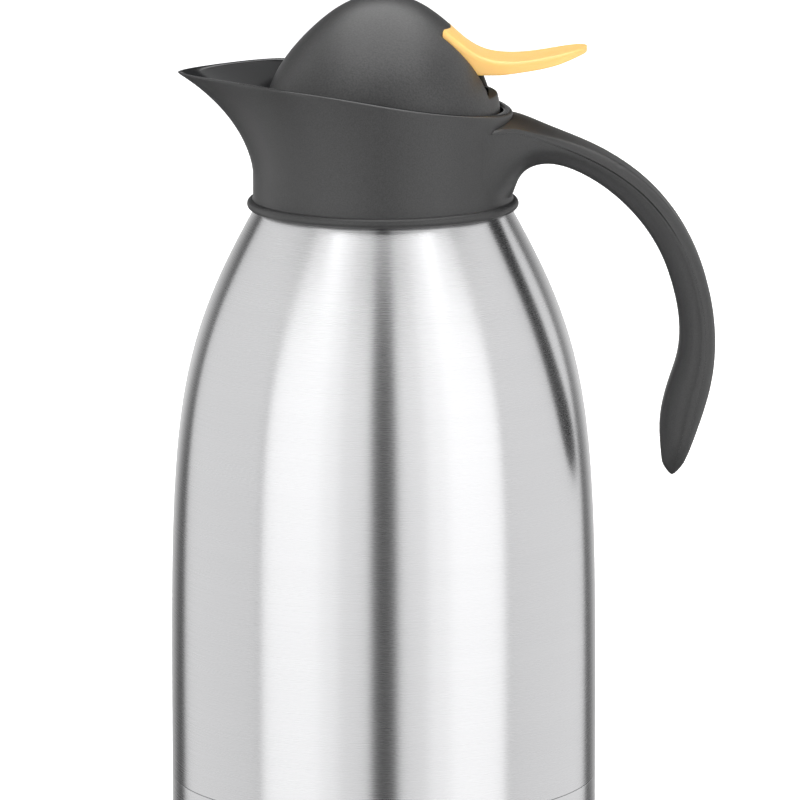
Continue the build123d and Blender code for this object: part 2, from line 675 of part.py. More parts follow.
with BuildPart() as thumb_lever:
    top_line = over_underside(lever_top_line)
    under_line = over_underside(lever_under_line)
    root_x = slot_front + lever_clearance
    corner_x = slot_corner + lever_clearance
    half_width = slot_half_width - lever_clearance
    with BuildSketch(Plane.XZ):
        with BuildLine():
            Spline(*top_line)
            Line(top_line[-1], under_line[0])
            Spline(*under_line)
            Polyline(under_line[-1], (slot_corner, lever_underside), top_line[0])
        make_face()
    extrude(amount=slot_half_width, both=True)
    with BuildSketch(Plane.XY.offset(lever_underside)):
        with BuildLine():
            ThreePointArc((corner_x, -half_width), (root_x, 0), (corner_x, half_width))
            for side in (1, -1):
                plan = [(x, side * y) for x, y in lever_plan]
                Line((corner_x, side * half_width), plan[0])
                Spline(*plan, (lever_tip, 0), tangents=((1, 0), (0, -side)))
        make_face()
    extrude(amount=2 * lever_top_line[0][1], mode=Mode.INTERSECT)
    long_edges = thumb_lever.edges().filter_by(lambda edge: edge.bounding_box().size.X > lever_edge_reach)
    tip_edges = thumb_lever.edges().filter_by(lambda edge: (edge @ 0.5).X > lever_tip - lever_edge_reach / 2)
    fillet(set(long_edges + tip_edges), lever_edge)
    with BuildSketch(Plane.XY.offset(lever_underside)):
        with Locations((tongue_front, 0)):
            Rectangle(root_x + 2 - tongue_front, 2 * tongue_half_width, align=(Align.MIN, Align.CENTER))
        with Locations((lever_screw_x, lever_screw_y), (lever_screw_x, -lever_screw_y)):
            Circle(lever_screw_radius, mode=Mode.SUBTRACT)
    extrude(amount=tongue_top - lever_underside)
save(thumb_lever, "thumb_lever")

with BuildPart() as lever_screws:
    for side in (-1, 1):
        with BuildSketch(Plane.XY.offset(lever_underside)):
            with Locations((lever_screw_x, side * lever_screw_y)):
                Circle(lever_screw_head)
        extrude(amount=-lever_screw_head_height)
        with BuildSketch(Plane.XY.offset(lever_underside)):
            with Locations((lever_screw_x, side * lever_screw_y)):
                Circle(lever_screw_radius - running_clearance)
        extrude(amount=tongue_top - lever_underside + lever_screw_bite - 1)
save(lever_screws, "lever_screws")
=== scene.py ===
"""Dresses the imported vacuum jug: brushed steel and moulded plastic over the fixed frame.

Sizes are in millimetres in the jug's own frame. The origin is the middle of the base pad's resting
face, +Z is up, -X is towards the spout and +X towards the handle. Meshes are made in metres.
"""
import logging
import math
from dataclasses import dataclass
from enum import Enum
from typing import Callable, Sequence

import bpy
from mathutils import Matrix, Vector

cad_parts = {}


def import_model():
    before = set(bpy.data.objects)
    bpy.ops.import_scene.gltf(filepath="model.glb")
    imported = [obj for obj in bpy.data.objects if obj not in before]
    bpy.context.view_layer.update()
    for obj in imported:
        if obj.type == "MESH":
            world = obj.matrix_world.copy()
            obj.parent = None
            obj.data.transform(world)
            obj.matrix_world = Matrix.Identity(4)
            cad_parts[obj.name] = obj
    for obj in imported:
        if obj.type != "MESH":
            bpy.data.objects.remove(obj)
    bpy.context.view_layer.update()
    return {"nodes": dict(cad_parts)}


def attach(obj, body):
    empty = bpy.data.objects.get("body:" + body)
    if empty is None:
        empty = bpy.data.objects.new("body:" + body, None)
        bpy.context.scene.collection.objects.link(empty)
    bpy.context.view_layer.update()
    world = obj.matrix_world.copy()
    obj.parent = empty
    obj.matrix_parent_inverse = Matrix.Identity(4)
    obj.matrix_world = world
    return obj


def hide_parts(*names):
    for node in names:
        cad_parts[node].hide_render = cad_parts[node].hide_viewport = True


MM = 0.001
AXIS_RADIUS = 0.02              # of the small ring that stands for a point on the axis
GRID_JOIN = 1e-7                # metres, within which a grid's edges are joined
CAD_JOIN = 2e-6                 # metres, within which a CAD node's corners are joined
NOISE_RANGE = (0.3, 0.7)        # the middle of a noise's range, which its mapping uses
LOG = logging.getLogger("jug")

Pair = tuple[float, float]
Triple = tuple[float, float, float]
Colour = tuple[float, float, float]


class Body(Enum):
    """The jug's rigid bodies."""

    JUG = "jug"
    LID_UNIT = "lid_unit"
    LID = "lid"


# ---------------------------------------------------------------- curves
def bezier(points: Sequence[Sequence[float]], share: float) -> tuple[float, ...]:
    """Find a point of a Bezier curve.

    Args:
        points: The curve's control points.
        share: How far along the curve, from 0 to 1.

    Returns:
        The point, with as many coordinates as the control points.
    """
    level = [tuple(point) for point in points]
    while len(level) > 1:
        level = [tuple(a + (b - a) * share for a, b in zip(p, q)) for p, q in zip(level, level[1:])]
    return level[0]


def bezier_line(points: Sequence[Pair], steps: int) -> list[Pair]:
    """Sample a Bezier curve in even steps of its parameter, both ends included."""
    return [bezier(points, step / steps) for step in range(steps + 1)]


def arc_line(centre: Pair, radius: float, start: float, end: float, steps: int) -> list[Pair]:
    """Sample an arc in even steps from one angle to another, in degrees, both ends included."""
    angles = [math.radians(start + (end - start) * step / steps) for step in range(steps + 1)]
    return [(centre[0] + radius * math.cos(a), centre[1] + radius * math.sin(a)) for a in angles]


def arc_through(first: Pair, middle: Pair, last: Pair, steps: int) -> list[Pair]:
    """Sample the arc through three points.

    Args:
        first: Where the arc starts.
        middle: A point it passes.
        last: Where the arc ends.
        steps: How many stretches to divide it into.

    Returns:
        The steps + 1 points, both ends included.
    """
    (ax, ay), (bx, by), (cx, cy) = first, middle, last
    scale = 2 * (ax * (by - cy) + bx * (cy - ay) + cx * (ay - by))
    squares = [x * x + y * y for x, y in (first, middle, last)]
    centre = ((squares[0] * (by - cy) + squares[1] * (cy - ay) + squares[2] * (ay - by)) / scale,
              (squares[0] * (cx - bx) + squares[1] * (ax - cx) + squares[2] * (bx - ax)) / scale)
    angles = [math.degrees(math.atan2(y - centre[1], x - centre[0])) for x, y in (first, middle, last)]
    turn = (angles[2] - angles[0]) % 360
    if (angles[1] - angles[0]) % 360 > turn:
        turn -= 360
    return arc_line(centre, math.dist(centre, first), angles[0], angles[0] + turn, steps)


class SmoothLine:
    """A natural cubic curve through points, spaced by the lengths of its chords."""

    def __init__(self, points: Sequence[Sequence[float]]) -> None:
        """Work out the curve.

        Args:
            points: What the curve passes through, in order.
        """
        self.points = [tuple(point) for point in points]
        spans = [math.dist(p, q) for p, q in zip(self.points, self.points[1:])]
        self.knots = [0.0]
        for span in spans:
            self.knots.append(self.knots[-1] + span)
        self.bends = list(zip(*[self._bends(spans, values) for values in zip(*self.points)]))

    @staticmethod
    def _bends(spans: Sequence[float], values: Sequence[float]) -> list[float]:
        """Solve for the second derivative at each point, for one coordinate.

        Args:
            spans: The lengths between the points.
            values: The coordinate at each point.

        Returns:
            One second derivative for each point.
        """
        last = len(values) - 1
        upper = [0.0] * (last + 1)
        right = [0.0] * (last + 1)
        for i in range(1, last):
            change = (values[i + 1] - values[i]) / spans[i] - (values[i] - values[i - 1]) / spans[i - 1]
            pivot = 2 * (spans[i - 1] + spans[i]) - spans[i - 1] * upper[i - 1]
            upper[i] = spans[i] / pivot
            right[i] = (6 * change - spans[i - 1] * right[i - 1]) / pivot
        bends = [0.0] * (last + 1)
        for i in range(last - 1, 0, -1):
            bends[i] = right[i] - upper[i] * bends[i + 1]
        return bends

    def at(self, share: float) -> tuple[float, ...]:
        """Find a point of the curve.

        Args:
            share: How far along it, from 0 to 1.

        Returns:
            The point.
        """
        knot = share * self.knots[-1]
        i = 0
        while i < len(self.knots) - 2 and self.knots[i + 1] < knot:
            i += 1
        span = self.knots[i + 1] - self.knots[i]
        b = (knot - self.knots[i]) / span
        a = 1 - b
        pull_a = (a ** 3 - a) * span * span / 6
        pull_b = (b ** 3 - b) * span * span / 6
        return tuple(a * p + b * q + pull_a * k + pull_b * m for p, q, k, m in
                     zip(self.points[i], self.points[i + 1], self.bends[i], self.bends[i + 1]))

    def over(self, across: float) -> float:
        """Find the second coordinate where the first, which rises, has some value."""
        return self.at(solve(lambda share: self.at(share)[0] - across, 0.0, 1.0))[1]


def solve(function: Callable[[float], float], low: float, high: float) -> float:
    """Find where a rising function passes 0, by halving.

    Args:
        function: The function.
        low: Where it is below 0.
        high: Where it is above 0.

    Returns:
        The place between them.
    """
    for _ in range(30):
        middle = (low + high) / 2
        if function(middle) < 0:
            low = middle
        else:
            high = middle
    return (low + high) / 2


def going(value: float, start: float, end: float) -> float:
    """Find how far a value has gone from a start to an end, held from 0 to 1."""
    return min(max((value - start) / (end - start), 0.0), 1.0)


def eased(share: float) -> float:
    """Turn an even course from 0 to 1 into one that sets off and stops gently."""
    return share * share * (3 - 2 * share)


def drawn_in(ring: Sequence[Triple]) -> list[Triple]:
    """Draw a ring in to its own middle."""
    return [tuple(sum(values) / len(ring) for values in zip(*ring))] * len(ring)


def spread(line: Sequence[Pair], count: int) -> list[Pair]:
    """Place points evenly along a line of straight runs.

    Args:
        line: The line's points.
        count: How many points to place, both ends included.

    Returns:
        The placed points.
    """
    lengths = [0.0]
    for p, q in zip(line, line[1:]):
        lengths.append(lengths[-1] + math.dist(p, q))
    placed = []
    run = 0
    for step in range(count):
        goal = lengths[-1] * step / (count - 1)
        while run < len(line) - 2 and lengths[run + 1] < goal:
            run += 1
        span = max(lengths[run + 1] - lengths[run], 1e-9)
        share = (goal - lengths[run]) / span
        placed.append(tuple(a + (b - a) * share for a, b in zip(line[run], line[run + 1])))
    return placed


# ---------------------------------------------------------------- mesh tools
def clear_selection() -> None:
    """Leave nothing selected, in object mode."""
    if bpy.context.object and bpy.context.object.mode != "OBJECT":
        bpy.ops.object.mode_set(mode="OBJECT")
    bpy.ops.object.select_all(action="DESELECT")


def turned(name: str, outline: Sequence[Pair], segments: int = 160) -> bpy.types.Object:
    """Turn a half section about the upright axis, one extruded ring for each point.

    Args:
        name: The new piece's name.
        outline: The (radius, height) points. An end on the axis closes there, and an outline that
            stays off the axis closes on its own start.
        segments: How many sides a ring has.

    Returns:
        The closed piece.
    """
    clear_selection()
    on_axis = min(outline[0][0], outline[-1][0]) <= 0
    rings = [(max(radius, AXIS_RADIUS) * MM, height * MM) for radius, height in outline]
    bpy.ops.mesh.primitive_circle_add(vertices=segments, radius=rings[0][0], location=(0, 0, rings[0][1]))
    piece = bpy.context.active_object
    bpy.ops.object.transform_apply(location=True)
    bpy.ops.object.mode_set(mode="EDIT")
    bpy.ops.mesh.select_all(action="SELECT")
    for (radius, height), (next_radius, next_height) in zip(rings, rings[1:]):
        bpy.ops.mesh.extrude_region_move(TRANSFORM_OT_translate={"value": (0, 0, next_height - height)})
        scale = next_radius / radius
        bpy.ops.transform.resize(value=(scale, scale, 1), center_override=(0, 0, next_height))
    bpy.ops.mesh.select_all(action="DESELECT")
    bpy.ops.mesh.select_non_manifold()
    if on_axis:
        bpy.ops.mesh.merge(type="COLLAPSE")
    else:
        bpy.ops.mesh.bridge_edge_loops()
    return finished(piece, name)


def lofted(name: str, rings: Sequence[Sequence[Triple]], closes: bool = False) -> bpy.types.Object:
    """Lay a grid over rings of points and join it round.

    Args:
        name: The new piece's name.
        rings: The rings, each with the same number of points. A ring whose points are all the
            same closes an end.
        closes: Whether the last ring joins on to the first.

    Returns:
        The closed piece.
    """
    clear_selection()
    rows = list(rings) + ([rings[0]] if closes else [])
    count = len(rows[0])
    bpy.ops.mesh.primitive_grid_add(x_subdivisions=count, y_subdivisions=len(rows) - 1)
    piece = bpy.context.active_object
    for vertex in piece.data.vertices:
        row, column = divmod(vertex.index, count + 1)
        vertex.co = Vector(rows[row][column % count]) * MM
    bpy.ops.object.mode_set(mode="EDIT")
    bpy.ops.mesh.select_all(action="SELECT")
    bpy.ops.mesh.remove_doubles(threshold=GRID_JOIN)
    return finished(piece, name)


def finished(piece: bpy.types.Object, name: str, crease: float = 32) -> bpy.types.Object:
    """Point a closed piece's faces outwards, shade it smooth between its creases and name it.

    Args:
        piece: The piece, in edit or object mode.
        name: Its name.
        crease: The angle past which an edge stays sharp, in degrees.

    Returns:
        The piece.
    """
    clear_selection()
    piece.select_set(True)
    bpy.context.view_layer.objects.active = piece
    bpy.ops.object.mode_set(mode="EDIT")
    bpy.ops.mesh.select_all(action="SELECT")
    bpy.ops.mesh.normals_make_consistent(inside=False)
    bpy.ops.object.mode_set(mode="OBJECT")
    bpy.ops.object.shade_smooth_by_angle(angle=math.radians(crease))
    piece.name = name
    piece.data.name = name
    piece.select_set(False)
    return piece


def smooth_copy(node: bpy.types.Object, name: str, crease: float = 28) -> bpy.types.Object:
    """Copy a CAD node, join its loose triangles and shade it smooth.

    Args:
        node: The CAD node.
        name: The copy's name.
        crease: The angle past which an edge stays sharp, in degrees.

    Returns:
        The copy.
    """
    clear_selection()
    piece = bpy.data.objects.new(name, node.data.copy())
    bpy.context.scene.collection.objects.link(piece)
    piece.select_set(True)
    bpy.context.view_layer.objects.active = piece
    if piece.data.has_custom_normals:
        bpy.ops.mesh.customdata_custom_splitnormals_clear()
    bpy.ops.object.mode_set(mode="EDIT")
    bpy.ops.mesh.select_all(action="SELECT")
    bpy.ops.mesh.remove_doubles(threshold=CAD_JOIN)
    bpy.ops.object.mode_set(mode="OBJECT")
    bpy.ops.object.shade_smooth_by_angle(angle=math.radians(crease))
    piece.select_set(False)
    return piece


def dress(piece: bpy.types.Object, material: bpy.types.Material, slot: str, body: Body,
          *nodes: str) -> None:
    """Give a new piece its material and its body, and hide the CAD nodes that it stands for.

    Args:
        piece: The new piece.
        material: Its material.
        slot: Not used.
        body: The body that it rides on.
        nodes: The CAD nodes that it stands for.
    """
    if piece.data.materials:
        piece.data.materials[0] = material
    else:
        piece.data.materials.append(material)
    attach(piece, body.value)
    if nodes:
        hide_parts(*nodes)
    LOG.info("%s: %d faces on %s", piece.name, len(piece.data.polygons), body.value)


# ---------------------------------------------------------------- finishes
class Wiring:
    """The nodes of a material or of the surroundings, added and joined in few words."""

    def __init__(self, tree: bpy.types.NodeTree) -> None:
        """Start on a node tree."""
        self.tree = tree
        self.nodes = tree.nodes

    def add(self, kind: str, **settings: object) -> bpy.types.Node:
        """Add a node.

        Args:
            kind: The node's type, without its ShaderNode prefix.
            settings: The node's own settings.

        Returns:
            The node.
        """
        node = self.nodes.new(f"ShaderNode{kind}")
        for key, value in settings.items():
            setattr(node, key, value)
        return node

    def join(self, start: bpy.types.NodeSocket, end: bpy.types.NodeSocket) -> None:
        """Join two sockets."""
        self.tree.links.new(start, end)

    def reckoned(self, operation: str, *values: bpy.types.NodeSocket | float) -> bpy.types.NodeSocket:
        """Reckon with values.

        Args:
            operation: What is done with them, in the maths node's words.
            values: The values, each a socket or a number.

        Returns:
            The outcome.
        """
        node = self.add("Math", operation=operation)
        for socket, value in zip(node.inputs, values):
            if isinstance(value, bpy.types.NodeSocket):
                self.join(value, socket)
            else:
                socket.default_value = value
        return node.outputs["Value"]

    def mapped(self, value: bpy.types.NodeSocket, before: Pair,
               after: Pair = (0.0, 1.0)) -> bpy.types.NodeSocket:
        """Map a value from one range on to another.

        Args:
            value: The value.
            before: The range that it is taken from.
            after: The range that it is mapped on to.

        Returns:
            The mapped value.
        """
        node = self.add("MapRange")
        for name, number in zip(("From Min", "From Max", "To Min", "To Max"), before + after):
            node.inputs[name].default_value = number
        self.join(value, node.inputs["Value"])
        return node.outputs["Result"]


class Surface(Wiring):
    """A material's nodes."""

    def __init__(self, name: str) -> None:
        """Start a material.

        Args:
            name: The material's name.
        """
        self.material = bpy.data.materials.new(name)
        self.material.use_nodes = True
        super().__init__(self.material.node_tree)
        self.shader = self.nodes["Principled BSDF"]

    def set(self, **values: object) -> None:
        """Set the shader's own sockets, each by its name in lower case with underscores."""
        for key, value in values.items():
            self.shader.inputs[key.replace("_", " ").title().replace("Ior", "IOR")].default_value = value

    def noise(self, scale: Triple, detail: float = 3.0, roughness: float = 0.5) -> bpy.types.NodeSocket:
        """Add noise on the piece's own coordinates.

        Args:
            scale: The noise's fineness along X, Y and Z, per metre.
            detail: How many finer layers it has.
            roughness: How strong the finer layers are.

        Returns:
            The noise's value.
        """
        place = self.add("TexCoord")
        mapping = self.add("Mapping")
        mapping.inputs["Scale"].default_value = scale
        texture = self.add("TexNoise")
        texture.inputs["Scale"].default_value = 1.0
        texture.inputs["Detail"].default_value = detail
        texture.inputs["Roughness"].default_value = roughness
        self.join(place.outputs["Object"], mapping.inputs["Vector"])
        self.join(mapping.outputs["Vector"], texture.inputs["Vector"])
        return texture.outputs["Fac"]

    def roughened(self, value: bpy.types.NodeSocket, middle: float, spread_out: float) -> None:
        """Let a value set the roughness, to vary as far as told to each side of a middle."""
        self.join(self.mapped(value, NOISE_RANGE, (middle - spread_out, middle + spread_out)),
                  self.shader.inputs["Roughness"])

    def coloured(self, value: bpy.types.NodeSocket, colour: Colour, dark: float, light: float = 1.0) -> None:
        """Let a value set the colour.

        Args:
            value: The value.
            colour: The colour.
            dark: What share of it the darkest parts have.
            light: What share of it the lightest parts have.
        """
        ramp = self.add("ValToRGB")
        for element, share, place in zip(ramp.color_ramp.elements, (dark, light), NOISE_RANGE):
            element.color = (*(part * share for part in colour), 1)
            element.position = place
        self.join(value, ramp.inputs["Fac"])
        self.join(ramp.outputs["Color"], self.shader.inputs["Base Color"])

    def bumped(self, value: bpy.types.NodeSocket, height: float, strength: float) -> None:
        """Raise the surface by a value.

        Args:
            value: The value.
            height: How far 1 raises it, in millimetres.
            strength: How much of that shows.
        """
        node = self.add("Bump")
        node.inputs["Distance"].default_value = height * MM
        node.inputs["Strength"].default_value = strength
        self.join(value, node.inputs["Height"])
        self.join(node.outputs["Normal"], self.shader.inputs["Normal"])


@dataclass(frozen=True)
class BrushedSteel:
    """Stainless sheet, brushed round the jug's axis."""

    name: str = "brushed_steel"
    colour: Colour = (0.72, 0.72, 0.73)
    shade: float = 0.985          # what share of the colour the darker lines have
    roughness: float = 0.27
    variation: float = 0.009      # how far the roughness varies from line to line
    stretch: float = 0.87         # how far a highlight is drawn out across the brushing
    stretch_turn: float = 0.25    # whole turns from the lines' way to the way of that
    lines: Triple = (9, 9, 9000)  # the lines' fineness, per metre
    bands: Triple = (4, 4, 160)   # and that of the shading across them
    line_depth: float = 0.00027

    def make(self) -> bpy.types.Material:
        """Make the material.

        Returns:
            The material.
        """
        surface = Surface(self.name)
        lines = surface.noise(self.lines, detail=3, roughness=0.6)
        bands = surface.noise(self.bands, detail=3)
        surface.roughened(lines, self.roughness, self.variation)
        surface.coloured(bands, self.colour, self.shade)
        surface.bumped(lines, self.line_depth, strength=0.35)
        tangent = surface.add("Tangent", direction_type="RADIAL", axis="Z")
        surface.join(tangent.outputs["Tangent"], surface.shader.inputs["Tangent"])
        surface.set(metallic=1.0, anisotropic=self.stretch, anisotropic_rotation=self.stretch_turn)
        return surface.material


@dataclass(frozen=True)
class PlainSteel:
    """Drawn or turned steel on inner pieces and fasteners."""

    name: str = "plain_steel"
    colour: Colour = (0.6, 0.6, 0.61)
    roughness: float = 0.28
    shade: float = 0.85
    variation: float = 0.07
    clouds: Triple = (90, 90, 700)
    cloud_depth: float = 0.01

    def make(self) -> bpy.types.Material:
        """Make the material.

        Returns:
            The material.
        """
        surface = Surface(self.name)
        clouds = surface.noise(self.clouds, detail=3)
        surface.roughened(clouds, self.roughness, self.variation)
        surface.coloured(clouds, self.colour, self.shade)
        surface.bumped(clouds, self.cloud_depth, strength=0.2)
        surface.set(metallic=1.0)
        return surface.material


@dataclass(frozen=True)
class Moulded:
    """Injection-moulded plastic with a fine eroded grain."""

    name: str = "moulded"
    colour: Colour = (0.031, 0.031, 0.0313)
    roughness: float = 0.42
    grain: float = 2300.0         # grains per metre
    grain_depth: float = 0.05
    contrast: float = 0.22        # how much lighter the grain's tops are
    gloss: float = 0.5            # specular level
    clouds: Triple = (38, 38, 38)
    variation: float = 0.03

    def make(self) -> bpy.types.Material:
        """Make the material.

        Returns:
            The material.
        """
        surface = Surface(self.name)
        grain = surface.noise((self.grain,) * 3, detail=2, roughness=0.6)
        clouds = surface.noise(self.clouds, detail=3)
        surface.coloured(grain, self.colour, 1 - self.contrast, 1 + self.contrast)
        surface.roughened(clouds, self.roughness, self.variation)
        surface.bumped(grain, self.grain_depth, strength=0.5)
        surface.set(specular_ior_level=self.gloss)
        return surface.material


@dataclass(frozen=True)
class Silky:
    """Smooth plastic or silicone with a little light scattered under its surface."""

    name: str = "silky"
    colour: Colour = (0.95, 0.55, 0.16)
    roughness: float = 0.36
    scatter: float = 0.25
    scatter_depth: float = 0.0012             # metres
    scatter_colour: Colour = (1.0, 0.55, 0.25)
    shade: float = 0.94
    variation: float = 0.05
    grain: Triple = (1600, 1600, 1600)
    grain_depth: float = 0.015
    clouds: Triple = (45, 45, 45)

    def make(self) -> bpy.types.Material:
        """Make the material.

        Returns:
            The material.
        """
        surface = Surface(self.name)
        grain = surface.noise(self.grain, detail=2)
        clouds = surface.noise(self.clouds, detail=3)
        surface.coloured(clouds, self.colour, self.shade)
        surface.roughened(grain, self.roughness, self.variation)
        surface.bumped(grain, self.grain_depth, strength=0.3)
        surface.set(subsurface_weight=self.scatter, subsurface_scale=self.scatter_depth,
                    subsurface_radius=self.scatter_colour)
        return surface.material


class Finishes:
    """Every material of the jug, made once."""

    def __init__(self) -> None:
        """Make the materials."""
        self.barrel = BrushedSteel().make()
        self.inner_steel = PlainSteel("inner_steel", (0.62, 0.62, 0.63), 0.24).make()
        self.small_steel = PlainSteel("small_steel", (0.5, 0.5, 0.51), 0.3).make()
        self.getter = PlainSteel("getter_metal", (0.2, 0.2, 0.21), 0.6).make()
        self.glass = Silky("solder_glass", (0.22, 0.27, 0.25), 0.12, 0.1).make()
        self.grey = Moulded("grey_plastic").make()
        self.dome_grey = Moulded("dome_plastic", grain=1500.0, grain_depth=0.09, contrast=0.3).make()
        self.polished = Moulded("polished_plastic", (0.012, 0.0125, 0.0135), 0.13, 900.0, 0.01, 0.05).make()
        self.dark = Moulded("dark_plastic", (0.03, 0.031, 0.033), 0.45).make()
        self.rubber = Moulded("pad_rubber", (0.018, 0.018, 0.019), 0.75, 1500.0, 0.08, 0.3, 0.3).make()
        self.silicone = Silky("silicone", (0.62, 0.61, 0.57), 0.5, 0.2).make()
        self.amber = Silky("amber_plastic", (0.88, 0.54, 0.17), 0.39, 0.25).make()


# ---------------------------------------------------------------- steel vessel
@dataclass(frozen=True)
class Vessel:
    """The double-walled steel body and its base."""

    radius: float = 75.0
    steel: float = 0.6
    seam_height: float = 22.0
    seam_gap: float = 0.1
    cup_edge: float = 0.4         # rounding of the cup's upper edge
    straight_top: float = 42.0
    barrel_swell: float = 150.0
    shoulder_swell: float = 173.0
    shoulder_radius: float = 46.0
    shoulder_height: float = 221.5
    shoulder_slope: float = 0.555
    neck_radius: float = 38.6
    neck_bend: float = 8.0
    neck_top: float = 243.5
    cup_corner: float = 5.0
    pad_radius: float = 64.0
    pad_thickness: float = 2.0
    pad_corner: float = 0.8
    pad_rings: tuple[float, ...] = (56.0, 46.0, 36.0, 26.0, 16.0)
    pad_ring_width: float = 2.2
    pad_ring_depth: float = 0.5
    edge: float = 0.2             # rounding of cut sheet
    sides: int = 256              # of a turned sheet

    def wall(self, inset: float) -> list[Pair]:
        """Draw the barrel, shoulder and neck.

        Args:
            inset: How deep under the outside.

        Returns:
            The points from the seam up to the top of the neck.
        """
        slope = Vector((-self.shoulder_slope, 1)).normalized()
        end = (self.shoulder_radius - inset * slope.y, self.shoulder_height + inset * slope.x)
        pull = self.shoulder_height - self.shoulder_swell
        swell = (end[0] + self.shoulder_slope * pull, end[1] - pull)
        radius = self.radius - inset
        line = [(radius, self.seam_height)]
        line += bezier_line(((radius, self.straight_top), (radius, self.barrel_swell), swell, end), 72)
        neck = self.neck_radius - inset
        bend = (neck, end[1] + (end[0] - neck) / self.shoulder_slope)
        reach = self.neck_bend * math.tan((math.pi / 2 - math.atan2(1, self.shoulder_slope)) / 2)
        start = (bend[0] + self.shoulder_slope * reach * slope.y, bend[1] - reach * slope.y)
        line += bezier_line((start, bend, (neck, bend[1] + reach)), 6)
        line.append((neck, self.neck_top))
        return line

    def sheet(self, name: str, outside: list[Pair], inside: list[Pair]) -> bpy.types.Object:
        """Turn a sheet between two lines that run the same way."""
        return turned(name, outside + inside[::-1], segments=self.sides)

    def build(self, nodes: dict[str, bpy.types.Object], finishes: Finishes) -> None:
        """Make the vessel's pieces and dress them.

        Args:
            nodes: The CAD nodes.
            finishes: The jug's materials.
        """
        outside = self.wall(0)
        rounded = [(self.radius - self.edge, self.seam_height), (self.radius, self.seam_height + self.edge)]
        barrel = self.sheet("barrel", rounded + outside[1:], self.wall(self.steel))
        dress(barrel, finishes.barrel, "barrel_steel", Body.JUG, "outer_shell")

        top = self.seam_height - self.seam_gap
        low = self.pad_thickness
        corner = self.cup_corner
        centre = (self.radius - corner, low + corner)
        cup_outside = [(0, low), (self.pad_radius, low)] + arc_line(centre, corner, -90, 0, 12)
        cup_outside += arc_line((self.radius - self.cup_edge, top - self.cup_edge), self.cup_edge, 0, 90, 6)
        cup_inside = [(0, low + self.steel)] + arc_line(centre, corner - self.steel, -90, 0, 8)
        cup_inside += [(self.radius - self.steel, top)]
        cup = self.sheet("base_cup_sheet", cup_outside, cup_inside)
        dress(cup, finishes.barrel, "cup_steel", Body.JUG, "base_cup")

        self.build_pad(finishes)
        for node in ("inner_vessel", "mouth_ring", "inner_base", "outer_base"):
            piece = smooth_copy(nodes[node], f"{node}_smooth")
            dress(piece, finishes.inner_steel, "inner_steel", Body.JUG, node)
        nodes["getter"].data.materials[0] = finishes.getter
        nodes["evacuation_seal"].data.materials[0] = finishes.glass

    def build_pad(self, finishes: Finishes) -> None:
        """Make the base pad, with shallow rings moulded in its underside.

        Args:
            finishes: The jug's materials.
        """
        outline = [(0, self.pad_thickness), (self.pad_radius, self.pad_thickness)]
        corner = self.pad_corner
        outline += arc_line((self.pad_radius - corner, corner), corner, 0, -90, 6)
        depth = self.pad_ring_depth
        for radius in self.pad_rings:
            inner = radius - self.pad_ring_width
            outline += [(radius, 0), (radius - depth, depth), (inner, depth), (inner - depth, 0)]
        outline.append((0, 0))
        dress(turned("base_pad_moulded", outline), finishes.rubber, "pad_rubber", Body.JUG, "base_pad")


